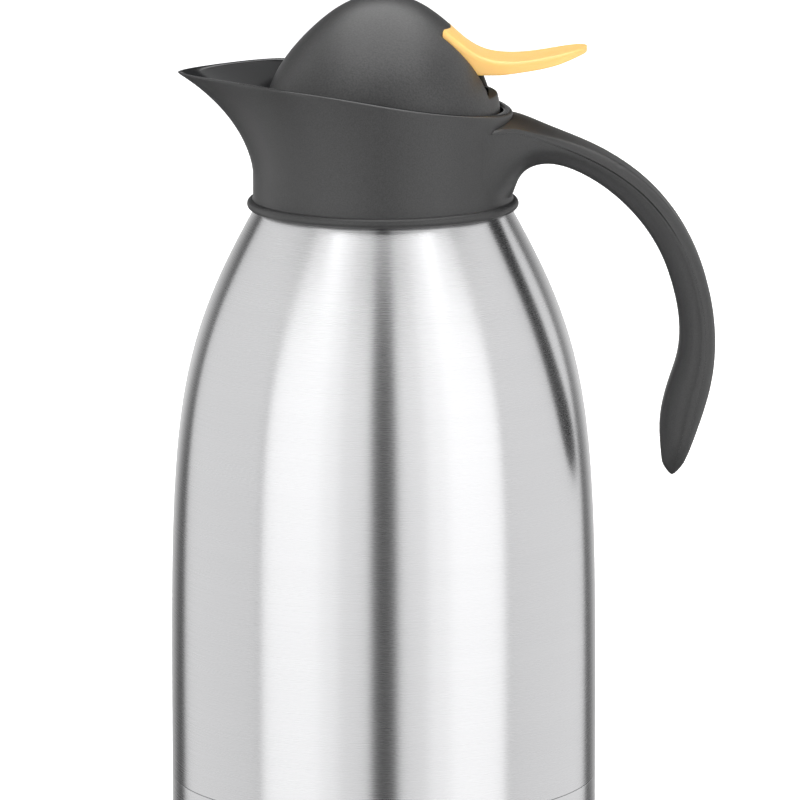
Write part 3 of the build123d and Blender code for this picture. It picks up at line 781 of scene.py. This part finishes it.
# ---------------------------------------------------------------- collar and handle
@dataclass(frozen=True)
class Collar:
    """The spout collar: a neck that leans out into the spout, with a funnel inside."""

    radius: float = 45.4
    wall: float = 3.5
    spout_wall: float = 2.0       # its thickness out in the spout
    spout_start: float = 1.6      # how soon it comes to that thickness
    bead: tuple[Pair, Pair, Pair] = ((46.2, 223.6), (47.5, 225.35), (45.75, 227.1))
    bead_blend: tuple[Pair, ...] = ((45.75, 227.1), (45.5, 227.35), (45.4, 228.4))
    lean: tuple[Pair, ...] = ((45.4, 236.0), (45.4, 240.6), (49.3, 260.0), (77.2, 274.6))
    pointing: float = 26.0        # how far the tip of the rim stands past its sides
    round_shares: tuple[float, ...] = (0.4027, 0.7838, 0.7838, 0.4027)    # of a quarter that stays round
    pointed_shares: tuple[float, ...] = (0.727, 0.366, 0.885, 0.336)      # and of one drawn to a point
    rim_line: tuple[Pair, ...] = ((-80.0, 271.5), (-52.0, 271.5), (-32.1, 270.5), (0, 265.8), (45.4, 257.9),
                                  (75.0, 252.9))
    rim_round: float = 1.0
    floor: float = 249.0
    throat_radius: float = 37.6
    gasket_top: float = 246.0
    gasket_bore: float = 40.1
    neck_top: float = 243.5
    clamp_bore: float = 42.5
    cone_foot: Pair = (44.98, 223.6)
    cone_slope: float = 0.555
    columns: int = 208
    rows: int = 30                # up the leaning wall
    upward: float = 0.95          # how squarely a face looks up that belongs to the inside
    margin: float = 0.01          # how far under the floor's level a face still belongs to it

    def plan(self, column: int, reach: float, half_width: float) -> Pair:
        """Find a point of a level cut through the collar.

        Args:
            column: Which point, counted round from the side, over the spout first.
            reach: How far the cut reaches out in the spout.
            half_width: The cut's half-width.

        Returns:
            The point's x and y.
        """
        quarter = self.columns // 4
        if column >= 2 * quarter:
            angle = math.pi * (column - 2 * quarter) / (2 * quarter) - math.pi / 2
            return half_width * math.cos(angle), half_width * math.sin(angle)
        point = (reach - half_width) / self.pointing
        near, far, cheek, nose = (a + (b - a) * point
                                  for a, b in zip(self.round_shares, self.pointed_shares))
        side = 1 if column < quarter else -1
        share = column / quarter if column < quarter else (2 * quarter - column) / quarter
        curve = ((0, half_width), (-near * reach, half_width), (-far * reach, cheek * half_width),
                 (-reach, nose * half_width), (-reach, 0))
        x, y = bezier(curve, share)
        return x, side * y

    def thinner(self, column: int) -> float:
        """Find how thick the wall is at a column of points, as a share of what it is at the rear."""
        front = math.sin(math.pi * min(column / (self.columns / 2), 1.0))
        return 1 - (1 - self.spout_wall / self.wall) * min(front * self.spout_start, 1.0)

    def skin(self, column: int, inset: float, share: float) -> Triple:
        """Find a point of the leaning wall.

        Args:
            column: Which column of points.
            inset: How deep under the outside.
            share: How far up the lean, from 0 at its root.

        Returns:
            The point.
        """
        reach, height = bezier(self.lean, share)
        inset *= self.thinner(column)
        x, y = self.plan(column, reach - inset, self.radius - inset)
        return x, y, height

    def rim_share(self, column: int, inset: float, below: float, rim: SmoothLine) -> float:
        """Find how far up the lean the wall comes to some depth below the rim.

        Args:
            column: Which column of points.
            inset: How deep under the outside.
            below: The depth below the rim.
            rim: The rim's side view.

        Returns:
            The share of the lean.
        """
        def over(share: float) -> float:
            """Tell how far a point of the wall stands over that height."""
            x, _, height = self.skin(column, inset, share)
            return height - (rim.over(x) - below)

        return solve(over, 0.0, 1.0)

    def level_ring(self, radius: float, height: float) -> list[Triple]:
        """Make a round ring at some height, with the collar's columns."""
        points = [self.plan(column, radius, radius) for column in range(self.columns)]
        return [(x, y, height) for x, y in points]

    def rings(self) -> list[list[Triple]]:
        """Draw the whole closed skin, up the outside, over the rim and down the inside.

        Returns:
            The rings.
        """
        rim = SmoothLine(self.rim_line)
        columns = range(self.columns)
        rings = [self.level_ring(radius, height) for radius, height in arc_through(*self.bead, 14)]
        rings += [self.level_ring(radius, height) for radius, height in bezier_line(self.bead_blend, 4)[1:]]
        tops = [self.rim_share(column, 0, self.rim_round, rim) for column in columns]
        rings += [[self.skin(c, 0, tops[c] * row / self.rows) for c in columns]
                  for row in range(self.rows + 1)]
        flat = self.wall - 2 * self.rim_round
        corner = arc_line((self.rim_round, -self.rim_round), self.rim_round, 180, 90, 5)
        corner += [(self.rim_round + flat / 2, 0.0)]
        corner += arc_line((self.rim_round + flat, -self.rim_round), self.rim_round, 90, 0, 5)
        for inset, rise in corner[1:-1]:
            shares = [self.rim_share(c, inset, -rise, rim) for c in columns]
            rings.append([self.skin(c, inset, shares[c]) for c in columns])
        tops = [self.rim_share(c, self.wall, self.rim_round, rim) for c in columns]
        low = solve(lambda share: bezier(self.lean, share)[1] - self.floor, 0.0, 1.0)
        for row in range(self.rows + 1):
            shares = [tops[c] + (low - tops[c]) * row / self.rows for c in columns]
            rings.append([self.skin(c, self.wall, shares[c]) for c in columns])
        cone_top = self.cone_foot[1] + (self.cone_foot[0] - self.clamp_bore) / self.cone_slope
        steps = ((self.throat_radius, self.floor), (self.throat_radius, self.gasket_top),
                 (self.gasket_bore, self.gasket_top), (self.gasket_bore, self.neck_top),
                 (self.clamp_bore, self.neck_top), (self.clamp_bore, cone_top), self.cone_foot)
        rings += [self.level_ring(radius, height) for radius, height in steps]
        return rings

    def build(self, nodes: dict[str, bpy.types.Object], finishes: Finishes) -> None:
        """Make the collar and dress it and the pieces that it clamps.

        Args:
            nodes: The CAD nodes.
            finishes: The jug's materials.
        """
        collar = lofted("collar", self.rings(), closes=True)
        dress(collar, finishes.grey, "grey_plastic", Body.JUG, "spout_collar")
        collar.data.materials.append(finishes.polished)
        inside = (self.floor - self.margin) * MM
        for face in collar.data.polygons:
            middle = face.center
            faces_in = face.normal.x * middle.x + face.normal.y * middle.y < 0 or face.normal.z > self.upward
            face.material_index = int(middle.z > inside and faces_in)
        dress(smooth_copy(nodes["collar_gasket"], "collar_ring"), finishes.silicone, "gasket_silicone",
              Body.JUG, "collar_gasket")
        nodes["neck_clamp"].data.materials[0] = finishes.dark


@dataclass(frozen=True)
class Handle:
    """The open bow handle: a finger side moulded with the collar and a cover strip on its back."""

    root_radius: float = 45.4
    rim_rear: float = 257.9
    back_line: tuple[Pair, ...] = ((-12.0, 2.4), (0.6, 1.7), (10.0, 4.7), (28.7, 12.9), (46.2, 24.4),
                                   (62.7, 46.1), (70.7, 75.7), (69.5, 97.1), (64.4, 114.3), (60.5, 124.3),
                                   (57.6, 129.9))
    front_line: tuple[Pair, ...] = ((-8.0, 38.0), (0.14, 28.3), (2.08, 23.3), (4.54, 20.6), (9.46, 18.7),
                                    (23.9, 22.0), (38.7, 32.6), (51.9, 50.7), (55.8, 61.4), (58.4, 75.7),
                                    (57.5, 87.1), (55.3, 94.2), (51.8, 109.6), (52.2, 121.3), (52.9, 125.8),
                                    (54.6, 129.6))
    flank_line: tuple[Pair, ...] = ((0, 28.0), (12.6, 19.0), (22.5, 14.6), (42.0, 11.4), (60.0, 11.0),
                                    (88.0, 11.0), (118.0, 11.0), (138.0, 10.8), (154.0, 9.8), (166.0, 7.0),
                                    (172.0, 3.4))
    corner_share: float = 0.42
    cover_depth: float = 3.6
    fade_start: float = 0.8       # share of the way where the parting line starts to leave the back
    fade_length: float = 0.16
    fade_depth: float = 4.6
    cover_end: float = 0.946
    cover_gap: float = 0.15
    cover_least: float = 0.02     # what is left of the cover where it runs out
    parting: float = 0.09         # open line between the two pieces
    parting_edge: float = 0.25    # rounding along it
    line_start: Pair = (0.15, 0.26)   # shares of the way over which the parting line comes up
    line_end: Pair = (0.42, 0.5)  # and dies away
    line_rest: float = 0.15       # what is left of it elsewhere
    crisp_end: Pair = (0.1, 0.3)  # shares over which the back's edges turn round
    finger_deep: float = 0.62     # how far its finger side's rounding reaches, as shares of its section
    finger_wide: float = 0.88
    crisp_corner: float = 0.7
    crown: float = 2.0            # how far a crisp edge lies under the back
    flare: float = 6.5            # how far the root runs out over the collar
    flare_finger: float = 0.04    # what share of that it does at the finger side
    flare_flank: float = 1.0      # at the flank
    flare_line: float = 0.4       # at the parting line
    flare_inside: float = 0.1     # and between the two pieces
    flare_rise: Pair = (0.3, 0.65)    # shares of the way round over which it grows
    flare_fall: Pair = (1.0, 0.7)     # and dies away
    sunk: float = 1.2             # how far the root stands in the collar's wall
    tip_start: float = 0.965
    samples: int = 600            # sections that the rings are found from
    root_samples: int = 240       # of those, the ones that may lie in the collar
    rows: int = 150
    side_points: int = 26

    def depth(self, share: float) -> float:
        """Find the cover's depth under the back."""
        fade = max(0.0, (share - self.fade_start) / self.fade_length)
        return self.cover_depth - self.fade_depth * fade ** 3

    def crispness(self, share: float) -> float:
        """Find how far the back is crowned between crisp edges, from 1 at the root to 0."""
        return eased(going(share, *self.crisp_end[::-1]))

    def line_strength(self, share: float) -> float:
        """Find how clearly the parting line shows, up to 1."""
        clear = going(share, *self.line_start) * going(share, *self.line_end[::-1])
        return self.line_rest + (1 - self.line_rest) * clear

    def half_section(self, thickness: float, half_width: float, crisp: float) -> list[Pair]:
        """Draw half of a rounded section, from the middle of the finger side to that of the back.

        Args:
            thickness: From finger side to back.
            half_width: From the middle plane to the flank.
            crisp: How far the back is crowned between crisp edges, from 0 to 1.

        Returns:
            The (towards the back, sideways) points.
        """
        corner = self.corner_share * min(thickness, 2 * half_width)
        half = thickness / 2
        deep, wide = self.finger_deep * thickness, self.finger_wide * half_width
        line = [(-half, 0.0)]
        line += [(-half + deep * (1 - x), half_width - wide * (1 - y))
                 for x, y in arc_line((0, 0), 1, 0, 90, 20)]
        corner += (self.crisp_corner - corner) * crisp
        back = arc_line((half - corner, half_width - corner), corner, 90, 0, 16)
        back += [(half, (half_width - corner) * (1 - step / 12)) for step in range(1, 13)]
        crown = self.crown * crisp
        return line + [(a - crown * (b / half_width) ** 2, b) for a, b in back]

    @staticmethod
    def clipped(line: Sequence[Pair], low: float, high: float) -> list[Pair]:
        """Keep the stretch of a line between two heights.

        Args:
            line: The line, which rises.
            low: The lower height.
            high: The upper height.

        Returns:
            The stretch, with its ends cut to the heights.
        """
        kept = []
        for p, q in zip(line, line[1:]):
            rise = q[0] - p[0]
            if q[0] < low or p[0] > high:
                continue
            for limit in sorted((p[0], q[0])):
                height = min(max(limit, low), high)
                share = (height - p[0]) / rise if abs(rise) > 1e-9 else float(limit == q[0])
                point = (height, p[1] + (q[1] - p[1]) * min(max(share, 0.0), 1.0))
                if abs(rise) <= 1e-9:
                    point = p if not kept or kept[-1] != p else q
                kept.append(point)
        return kept

    def surface(self, share: float, is_cover: bool, curves: tuple[SmoothLine, ...]) -> list[Triple]:
        """Draw one section of the finger side or of the cover.

        Args:
            share: How far along the handle.
            is_cover: Whether it is the cover's section.
            curves: The back, the finger side and the flank.

        Returns:
            The section's points.
        """
        back, front, flank = (curve.at(share) for curve in curves)
        rise = (back[0] - front[0], front[1] - back[1])
        thickness = math.hypot(*rise)
        up = (rise[0] / thickness, rise[1] / thickness)
        middle = ((back[0] + front[0]) / 2 + self.root_radius, self.rim_rear - (back[1] + front[1]) / 2)
        half_line = self.half_section(thickness, flank[1], self.crispness(share))
        clear = self.line_strength(share)
        cut = min(thickness / 2 - self.depth(share), thickness / 2 - self.cover_least)
        edge = min(self.parting_edge * clear, (thickness / 2 - cut) / 3)
        if is_cover:
            side = self.clipped(half_line, cut + edge, thickness)[::-1]
        else:
            cut -= self.parting * clear
            side = self.clipped(half_line, -thickness, cut - edge)
        flat = side[-1][1] - edge
        half = spread(side, self.side_points) + [(cut, flat * (1 - step / 5)) for step in range(5)]
        ring = half + [(cut, 0.0)] + [(a, -b) for a, b in half[:0:-1]]
        shrink = 1.0
        if share > self.tip_start and not is_cover:
            shrink = math.sqrt(max(0.0, 1 - ((share - self.tip_start) / (1 - self.tip_start)) ** 2))
        return [(middle[0] + up[0] * a * shrink, b * shrink, middle[1] + up[1] * a * shrink)
                for a, b in ring]

    def rings(self, is_cover: bool) -> list[list[Triple]]:
        """Draw the finger side or the cover from where it leaves the collar.

        Args:
            is_cover: Whether it is the cover.

        Returns:
            The rings from the root to the end, both closed.
        """
        curves = tuple(SmoothLine(line) for line in (self.back_line, self.front_line, self.flank_line))
        end = self.cover_end if is_cover else 1.0
        root = self.root_radius + (self.cover_gap if is_cover else 0.0)
        last = self.samples
        sections = [self.surface(end * row / last, is_cover, curves) for row in range(last + 1)]
        paths = []
        for column in range(len(sections[0])):
            path = [section[column] for section in sections]
            start = self.passes(path, root)
            if is_cover:
                paths.append([self.along(path, start + (last - start) * row / self.rows)
                              for row in range(self.rows + 1)])
                continue
            flare = self.flare_at(column, len(sections[0]))
            leaves = self.passes(path, root + flare)
            centre = [sum(values) / len(values) for values in zip(*sections[int(start)])]
            foot = self.along(path, start)
            spread_out = Vector(self.slid(foot, centre, flare))
            bend = bezier_line((tuple(spread_out), foot, self.along(path, leaves)), 12)
            level = spread_out.to_2d().normalized() * (root - self.sunk)
            free = [self.along(path, leaves + (last - leaves) * row / self.rows)
                    for row in range(1, self.rows + 1)]
            paths.append([(level.x, level.y, spread_out.z)] + bend + free)
        rings = [list(ring) for ring in zip(*paths)]
        return self.capped(rings[0])[::-1] + rings + [drawn_in(rings[-1])]

    @staticmethod
    def capped(ring: Sequence[Triple]) -> list[list[Triple]]:
        """Close a ring over the round of the collar.

        Args:
            ring: The ring.

        Returns:
            Smaller and smaller rings, the last one a point.
        """
        angles = [math.atan2(y, x) for x, y, _ in ring]
        reaches = [math.hypot(x, y) for x, y, _ in ring]
        middle = sum(z for _, _, z in ring) / len(ring)
        reach = sum(reaches) / len(ring)
        rings = []
        for share in (0.7, 0.35, 0.0):
            rings.append([((reach + (r - reach) * share) * math.cos(angle * share),
                           (reach + (r - reach) * share) * math.sin(angle * share),
                           middle + (point[2] - middle) * share)
                          for angle, r, point in zip(angles, reaches, ring)])
        return rings

    @staticmethod
    def along(path: Sequence[Triple], place: float) -> Triple:
        """Find a point of a path, at a place that is counted in the path's points."""
        low = min(int(place), len(path) - 2)
        return tuple(p + (q - p) * (place - low) for p, q in zip(path[low], path[low + 1]))

    def passes(self, path: Sequence[Triple], radius: float) -> float:
        """Find where a path last leaves a radius round the jug's axis.

        Args:
            path: The path.
            radius: The radius.

        Returns:
            The place, counted in points.
        """
        row = max(i for i in range(self.root_samples) if not i or math.hypot(*path[i][:2]) < radius)
        near, far = (math.hypot(*path[row + step][:2]) for step in (0, 1))
        return row + (radius - near) / (far - near)

    def flare_at(self, column: int, count: int) -> float:
        """Find how far the root runs out over the collar.

        Args:
            column: Which column of points.
            count: How many columns there are.

        Returns:
            The distance.
        """
        side = min(column, count - column) / (self.side_points - 1)
        if side > 1:
            return self.flare * self.flare_inside
        rise = math.sin(math.pi / 2 * going(side, *self.flare_rise)) ** 2
        fall = math.sin(math.pi / 2 * going(side, *self.flare_fall)) ** 2
        return self.flare * min(self.flare_finger + (self.flare_flank - self.flare_finger) * rise,
                                self.flare_line + (self.flare_flank - self.flare_line) * fall)

    def slid(self, foot: Triple, centre: Sequence[float], reach: float) -> Triple:
        """Slide a point over the collar, away from the handle's middle.

        Args:
            foot: The point, on the collar.
            centre: The handle's middle there.
            reach: How far.

        Returns:
            The point that it comes to, also on the collar.
        """
        outward = Vector((foot[0], foot[1], 0)).normalized()
        away = Vector(foot) - Vector(centre)
        away -= outward * away.dot(outward)
        goal = Vector(foot) + away.normalized() * reach
        level = goal.to_2d().normalized() * math.hypot(foot[0], foot[1])
        return level.x, level.y, goal.z

    def build(self, finishes: Finishes) -> None:
        """Make the handle's two pieces and dress them.

        Args:
            finishes: The jug's materials.
        """
        grip = lofted("handle_grip", self.rings(False))
        dress(grip, finishes.grey, "grey_plastic", Body.JUG)
        cover = lofted("handle_back", self.rings(True))
        dress(cover, finishes.grey, "cover_plastic", Body.JUG, "handle_cover")


# ---------------------------------------------------------------- lid
@dataclass(frozen=True)
class Lever:
    """The thumb lever: its root fills the dome's slot and it thins out to a rounded tip."""

    underside: float = 272.0
    top_line: tuple[Pair, ...] = ((20.6, 16.4), (27.0, 11.0), (33.9, 6.7), (43.0, 4.8), (56.5, 6.0),
                                  (68.7, 8.3), (74.0, 9.1))
    under_line: tuple[Pair, ...] = ((41.0, 0.0), (51.3, 1.3), (61.7, 3.5), (69.4, 6.2), (74.0, 7.4))
    plan_line: tuple[Pair, ...] = ((44.0, 14.35), (57.0, 12.6), (66.5, 9.5), (69.6, 6.5), (70.8, 3.3),
                                   (71.2, 0.6))
    root_x: float = 23.85         # of the root's end, in the middle
    root_sag: float = 3.0         # how much further forward its sides reach
    straight_x: float = 34.0      # where its sections stand straight across
    crown: float = 1.9            # how much higher the middle of the root stands than its sides
    crown_end: float = 38.0
    edge: float = 2.0             # rounding along the top
    under_edge: float = 0.8
    edge_limits: Pair = (0.48, 0.9)   # shares of a section's height and width that a rounding may take
    root_rows: int = 36
    tip_rows: int = 44
    tongue_size: Triple = (16.3, 16.0, 7.1)
    tongue_front: float = 9.5
    tongue_edge: float = 0.4

    def height(self, line: SmoothLine, x: float) -> float:
        """Find the height of the top's or the underside's line at a place along the lever."""
        return self.underside + (line.over(x) if x > line.points[0][0] else line.points[0][1])

    def section(self, width: float, thickness: float) -> list[tuple[float, float, bool]]:
        """Draw a section as places across it.

        Args:
            width: Half of its width.
            thickness: Its height.

        Returns:
            The (sideways, inward from the surface, whether that is the top) points, all the way round.
        """
        limits = (self.edge_limits[0] * thickness, self.edge_limits[1] * width)
        upper = min(self.edge, *limits)
        lower = min(self.under_edge, *limits)
        half = [((width - upper) * step / 12, 0.0, True) for step in range(12)]
        half += [(y, -z, True) for y, z in arc_line((width - upper, -upper), upper, 90, 0, 6)]
        half += [(y, z, False) for y, z in arc_line((width - lower, lower), lower, 0, -90, 6)]
        half += [((width - lower) * (1 - step / 10), 0.0, False) for step in range(1, 11)]
        return half + [(-y, z, top) for y, z, top in half[-2:0:-1]]

    def rings(self) -> list[list[Triple]]:
        """Draw the lever from its root to its tip.

        Returns:
            The rings, both ends closed.
        """
        top, under, plan = (SmoothLine(line) for line in (self.top_line, self.under_line, self.plan_line))
        root_end, root_width = self.plan_line[0]
        stations = [(self.root_x + (root_end - self.root_x) * row / self.root_rows, root_width)
                    for row in range(self.root_rows)]
        stations += [plan.at(row / self.tip_rows) for row in range(self.tip_rows + 1)]
        rings = []
        for x, width in stations:
            sag = self.root_sag * going(x, self.straight_x, self.root_x)
            crown = self.crown * eased(going(x, self.crown_end, self.root_x))
            ring = []
            for y, inward, is_top in self.section(width, self.height(top, x) - self.height(under, x)):
                outer = (y / width) ** 2
                place = x - sag * outer
                upper = self.height(top, place) + crown * (1 - outer) - inward
                ring.append((place, y, upper if is_top else self.height(under, place) + inward))
            rings.append(ring)
        return [drawn_in(rings[0])] + rings + [drawn_in(rings[-1])]

    def build(self, finishes: Finishes) -> None:
        """Make the lever and the tongue that it is screwed on by, and dress them.

        Args:
            finishes: The jug's materials.
        """
        dress(lofted("lever", self.rings()), finishes.amber, "amber_plastic", Body.LID, "thumb_lever")
        clear_selection()
        length, width, height = self.tongue_size
        middle = (self.tongue_front + length / 2, 0, self.underside + height / 2)
        bpy.ops.mesh.primitive_cube_add(size=1, location=[part * MM for part in middle])
        tongue = bpy.context.active_object
        tongue.scale = [part * MM for part in (length, width, height)]
        bpy.ops.object.transform_apply(location=True, scale=True)
        bpy.ops.object.mode_set(mode="EDIT")
        bpy.ops.mesh.select_all(action="SELECT")
        bpy.ops.mesh.bevel(offset=self.tongue_edge * MM, segments=3, affect="EDGES")
        dress(finished(tongue, "lever_tongue"), finishes.amber, "amber_plastic", Body.LID, "thumb_lever")


@dataclass(frozen=True)
class Lid:
    """The dome with its plug, and the lid unit that carries it."""

    crease: float = 28.0          # degrees, past which an edge stays sharp

    def build(self, nodes: dict[str, bpy.types.Object], finishes: Finishes) -> None:
        """Dress the lid's pieces.

        Args:
            nodes: The CAD nodes.
            finishes: The jug's materials.
        """
        for node, material, slot, body in (
                ("dome_shell", finishes.dome_grey, "dome_plastic", Body.LID),
                ("lid_plug", finishes.dark, "frame_plastic", Body.LID),
                ("plug_gasket", finishes.silicone, "gasket_silicone", Body.LID),
                ("plug_screw", finishes.small_steel, "screw_steel", Body.LID),
                ("lever_screws", finishes.small_steel, "screw_steel", Body.LID),
                ("lid_frame", finishes.dark, "frame_plastic", Body.LID_UNIT),
                ("frame_gasket", finishes.silicone, "gasket_silicone", Body.LID_UNIT),
                ("hinge_pin", finishes.small_steel, "pin_steel", Body.LID_UNIT),
                ("return_spring", finishes.small_steel, "spring_steel", Body.LID_UNIT)):
            dress(smooth_copy(nodes[node], f"{node}_smooth", self.crease), material, slot, body, node)


# ---------------------------------------------------------------- studio
@dataclass(frozen=True)
class SoftBox:
    """A large soft light, turned towards the jug."""

    name: str
    bearing: float                # degrees round from the camera, handle side first
    half_span: float              # degrees to each side, as the jug sees it
    brightness: float             # as the jug sees it, 1 is white
    distance: float = 2.0         # metres
    height: float = 0.5           # metres, of its middle
    tall: float = 3.4             # metres
    rise: float = 0.0             # degrees up from level

    def build(self) -> None:
        """Hang the light."""
        light = bpy.data.lights.new(self.name, "AREA")
        light.shape = "RECTANGLE"
        light.size = 2 * self.distance * math.tan(math.radians(self.half_span))
        light.size_y = self.tall
        light.energy = self.brightness * math.pi * light.size * light.size_y
        lamp = bpy.data.objects.new(self.name, light)
        turn = math.radians(self.bearing)
        lift = math.radians(self.rise)
        reach = self.distance * math.cos(lift)
        lamp.location = (reach * math.sin(turn), -reach * math.cos(turn),
                         self.height + self.distance * math.sin(lift))
        way = Vector((0, 0, self.height)) - lamp.location
        lamp.rotation_euler = way.to_track_quat("-Z", "Y").to_euler()
        lamp.visible_camera = False
        bpy.context.scene.collection.objects.link(lamp)


@dataclass(frozen=True)
class Studio:
    """The floor, the lights and the camera."""

    camera_place: Triple = (0.0059, -2.4, 0.61285)  # metres
    pitch: float = 10.8                     # degrees down from level
    roll: float = 0.08                      # degrees that the view leans to the left
    lens: float = 312.8
    sensor: float = 36.0
    sight: float = 100.0                    # metres
    boxes: tuple[SoftBox, ...] = (
        SoftBox("left_front_box", -37.8, 31.4, 1.0),
        SoftBox("left_front_glow", -46, 22, 0.2),
        SoftBox("left_front_core", -51, 17, 0.14),
        SoftBox("right_front_box", 38.8, 31.4, 1.02),
        SoftBox("right_front_glow", 46, 22, 0.22),
        SoftBox("right_front_core", 52, 16, 0.16),
        SoftBox("left_side_box", -103, 32.5, 0.83),
        SoftBox("right_side_box", 105, 34, 0.86),
        SoftBox("top_box", 0, 36, 2.9, rise=84, tall=2.0),
        SoftBox("back_box", 180, 36, 3.0, rise=60, tall=1.2, distance=2.2),
    )
    floor_size: float = 14.0                # metres
    floor_colour: Colour = (0.92, 0.92, 0.92)
    floor_shade: float = 0.978              # what share of it the darker patches have
    floor_clouds: Triple = (6, 6, 6)        # the patches' fineness, per metre
    floor_roughness: float = 0.9
    floor_glow: float = 0.6
    room_brightness: float = 0.07
    sheet_brightness: float = 1.0
    sheet_way: Triple = (0.0, 1.0, 0.45)    # wider towards its top
    sheet_width: Pair = (0.681, 0.888)      # along that way, from where it begins to where it is brightest
    sheet_top: Pair = (0.2, -0.1)           # where it fades out upwards
    sheet_fall: float = 2.0

    def build(self) -> None:
        """Set the stage."""
        self.build_floor()
        for box in self.boxes:
            box.build()
        self.build_world()
        self.build_camera()

    def build_floor(self) -> None:
        """Lay the pale floor."""
        clear_selection()
        bpy.ops.mesh.primitive_plane_add(size=self.floor_size)
        floor = bpy.context.active_object
        floor.name = "floor"
        surface = Surface("pale_floor")
        surface.coloured(surface.noise(self.floor_clouds, detail=2), self.floor_colour, self.floor_shade)
        surface.set(roughness=self.floor_roughness, emission_color=(1, 1, 1, 1),
                    emission_strength=self.floor_glow)
        floor.data.materials.append(surface.material)
        floor.visible_glossy = False

    def build_camera(self) -> None:
        """Set up the camera."""
        camera = bpy.data.cameras.new("camera")
        camera.lens = self.lens
        camera.sensor_width = self.sensor
        camera.clip_end = self.sight
        holder = bpy.data.objects.new("camera", camera)
        holder.location = self.camera_place
        aim = Matrix.Rotation(math.radians(90 - self.pitch), 3, "X")
        holder.rotation_euler = (aim @ Matrix.Rotation(math.radians(-self.roll), 3, "Z")).to_euler()
        bpy.context.scene.collection.objects.link(holder)
        bpy.context.scene.camera = holder
        bpy.context.scene.view_settings.view_transform = "Standard"

    def white_behind(self, wiring: Wiring) -> bpy.types.NodeSocket:
        """Make the brightness of the surroundings: dim, with a low white sheet hung behind the jug.

        Args:
            wiring: The world's nodes.

        Returns:
            The brightness.
        """
        way = wiring.add("TexCoord").outputs["Generated"]
        shares = []
        for direction, limits in ((self.sheet_way, self.sheet_width), ((0.0, 0.0, 1.0), self.sheet_top)):
            along = wiring.add("VectorMath", operation="DOT_PRODUCT")
            along.inputs[1].default_value = direction
            wiring.join(way, along.inputs[0])
            shares.append(wiring.mapped(along.outputs["Value"], limits))
        sheet = wiring.reckoned("MULTIPLY", wiring.reckoned("POWER", shares[0], self.sheet_fall), shares[1])
        return wiring.reckoned("MULTIPLY_ADD", sheet, self.sheet_brightness, self.room_brightness)

    def build_world(self) -> None:
        """Make the surroundings: white to the eye, dim to the lights and reflections."""
        world = bpy.data.worlds.new("studio")
        bpy.context.scene.world = world
        world.use_nodes = True
        wiring = Wiring(world.node_tree)
        seen = wiring.nodes["Background"]
        seen.inputs["Color"].default_value = (1, 1, 1, 1)
        felt = wiring.add("Background")
        wiring.join(self.white_behind(wiring), felt.inputs["Strength"])
        mix = wiring.add("MixShader")
        wiring.join(wiring.add("LightPath").outputs["Is Camera Ray"], mix.inputs["Fac"])
        wiring.join(felt.outputs["Background"], mix.inputs[1])
        wiring.join(seen.outputs["Background"], mix.inputs[2])
        wiring.join(mix.outputs["Shader"], wiring.nodes["World Output"].inputs["Surface"])


def main(frame: dict) -> None:
    """Build and dress the jug, sub-assembly by sub-assembly.
    """
    logging.basicConfig(level=logging.INFO, format="%(name)s: %(message)s")
    nodes = frame["nodes"]
    finishes = Finishes()
    Vessel().build(nodes, finishes)
    Collar().build(nodes, finishes)
    Handle().build(finishes)
    Lid().build(nodes, finishes)
    Lever().build(finishes)
    Studio().build()


if __name__ == "__main__":
    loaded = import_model()
    main(loaded)
